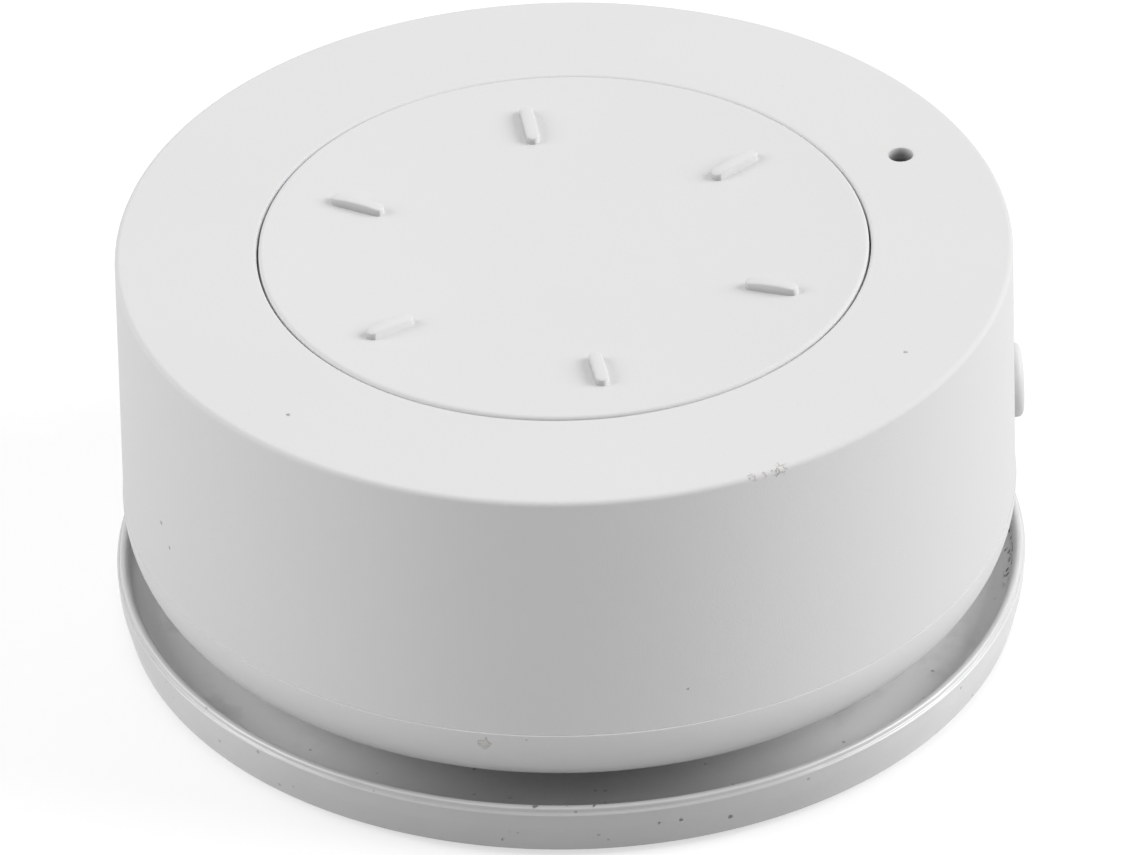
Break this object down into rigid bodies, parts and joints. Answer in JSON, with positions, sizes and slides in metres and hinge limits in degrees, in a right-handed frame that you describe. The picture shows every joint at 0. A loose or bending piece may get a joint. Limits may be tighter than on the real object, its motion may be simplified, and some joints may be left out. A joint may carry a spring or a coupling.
{
  "type": "wireless scene switch",
  "caption": "Round wireless scene switch: a white knob that turns on a shallow metal dish, with a ribbed press disc in its top and a pairing button in its side.",
  "frame": {"origin": "middle of the adhesive face that is stuck to a table or wall", "axes": "+Z out of that face, along the axis the knob turns on; +X towards the pairing button, within 3 degrees"},
  "size_m": [0.0514, 0.0514, 0.024],
  "materials": {
    "white_plastic": "fine matte moulded, slightly soft sheen",
    "cast_metal": "pale grey painted casting",
    "steel": "galvanised sheet",
    "foam": "foam tape",
    "glide": "low friction pad",
    "grey_plastic": "moulded",
    "magnet": "nickel plated",
    "screw": "zinc plated, dark",
    "battery_can": "satin",
    "spring_strip": "tin plated",
    "board": "solder mask",
    "tin_can": "tin plated",
    "black_plastic": "moulded",
    "plunger": "moulded",
    "led": "clear over yellow",
    "light_guide": "frosted"
  },
  "bodies": {
    "dish": {"adhesive_pad": "foam", "base_dish": "cast_metal", "steel_plate": "steel"},
    "turntable": {"foot_pads": "glide", "turntable_ring": "grey_plastic", "holding_magnets": "magnet"},
    "knob": {"bottom_cover": "white_plastic", "chassis": "grey_plastic", "housing_screws": "screw", "outer_shell": "white_plastic", "coin_cell": "battery_can", "battery_contact_plus": "spring_strip", "battery_contact_minus": "spring_strip", "circuit_board": "board", "radio_module": "board", "shield_can": "tin_can", "encoder_body": "black_plastic", "centre_switch_body": "black_plastic", "side_switch_body": "black_plastic", "status_led": "led", "light_pipe": "light_guide"},
    "pinion": {"encoder_pinion": "plunger"},
    "disc": {"press_disc": "white_plastic"},
    "centre_plunger": {"centre_switch_plunger": "plunger"},
    "pairing_button": {"side_button": "white_plastic"},
    "pairing_plunger": {"side_switch_plunger": "plunger"},
    "door": {"battery_door": "grey_plastic"}
  },
  "joints": [
    {"name": "lift_off", "type": "slide", "parent": "dish", "child": "turntable", "axis": [0, 0, 1], "range_m": [0, 0.03]},
    {"name": "knob_spin", "type": "hinge", "parent": "turntable", "child": "knob", "pos_m": [0, 0, 0.0069], "axis": [0, 0, 1], "continuous": true},
    {"name": "pinion_spin", "type": "hinge", "parent": "knob", "child": "pinion", "pos_m": [-0.0155, 0, 0.005], "axis": [0, 0, 1], "continuous": true},
    {"name": "disc_press", "type": "slide", "parent": "knob", "child": "disc", "axis": [0, 0, -1], "range_m": [0, 0.0003], "stiffness_N_per_m": 1500, "springref_m": -0.0005},
    {"name": "centre_plunger_press", "type": "slide", "parent": "knob", "child": "centre_plunger", "axis": [0, 0, -1], "range_m": [0, 0.0003]},
    {"name": "pairing_press", "type": "slide", "parent": "knob", "child": "pairing_button", "axis": [-0.9986, -0.0523, 0], "range_m": [0, 0.0003], "stiffness_N_per_m": 1200, "springref_m": -0.0005},
    {"name": "pairing_plunger_press", "type": "slide", "parent": "knob", "child": "pairing_plunger", "axis": [-0.9986, -0.0523, 0], "range_m": [0, 0.0003]},
    {"name": "door_twist", "type": "hinge", "parent": "knob", "child": "door", "pos_m": [0, 0, 0.0032], "axis": [0, 0, 1], "range_deg": [0, 30]}
  ],
  "couplings": [
    {"joint": "pinion_spin", "follows": "knob_spin", "ratio": -7.2},
    {"joint": "centre_plunger_press", "follows": "disc_press", "ratio": 1},
    {"joint": "pairing_plunger_press", "follows": "pairing_press", "ratio": 1}
  ]
}
